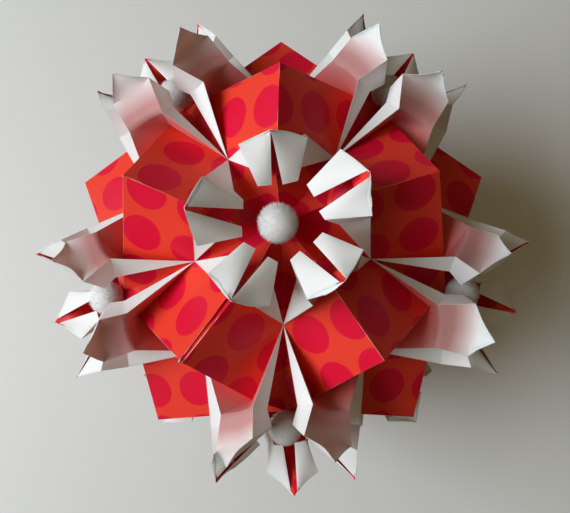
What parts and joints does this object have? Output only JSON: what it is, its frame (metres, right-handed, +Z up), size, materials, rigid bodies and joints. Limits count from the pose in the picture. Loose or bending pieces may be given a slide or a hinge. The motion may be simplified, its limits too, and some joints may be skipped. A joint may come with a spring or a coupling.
{
  "type": "kusudama paper ball",
  "caption": "Modular folded-paper ball of boxes in dotted red paper, with flowers of curled white petals round small white pom-poms.",
  "frame": {"origin": "centre of the ball, which is the centre of its bounding box", "axes": "+Z up through the centre of one flower, -Z down through the flower that the ball stands on; -Y is toward the flower nearest the viewer in the upper ring"},
  "size_m": [0.1532, 0.161, 0.1588],
  "materials": {
    "paper": "matt print on one side, white on the other",
    "pompom": "short soft pile"
  },
  "bodies": {
    "root": {"paper_unit_01": "paper", "paper_unit_02": "paper", "paper_unit_03": "paper", "paper_unit_04": "paper", "paper_unit_05": "paper", "paper_unit_06": "paper", "paper_unit_07": "paper", "paper_unit_08": "paper", "paper_unit_09": "paper", "paper_unit_10": "paper", "paper_unit_11": "paper", "paper_unit_12": "paper", "paper_unit_13": "paper", "paper_unit_14": "paper", "paper_unit_15": "paper", "paper_unit_16": "paper", "paper_unit_17": "paper", "paper_unit_18": "paper", "paper_unit_19": "paper", "paper_unit_20": "paper", "paper_unit_21": "paper", "paper_unit_22": "paper", "paper_unit_23": "paper", "paper_unit_24": "paper", "paper_unit_25": "paper", "paper_unit_26": "paper", "paper_unit_27": "paper", "paper_unit_28": "paper", "paper_unit_29": "paper", "paper_unit_30": "paper", "pompom_01": "pompom", "pompom_02": "pompom", "pompom_03": "pompom", "pompom_04": "pompom", "pompom_05": "pompom", "pompom_06": "pompom", "pompom_07": "pompom", "pompom_08": "pompom", "pompom_09": "pompom", "pompom_10": "pompom", "pompom_11": "pompom", "pompom_12": "pompom"}
  },
  "joints": []
}
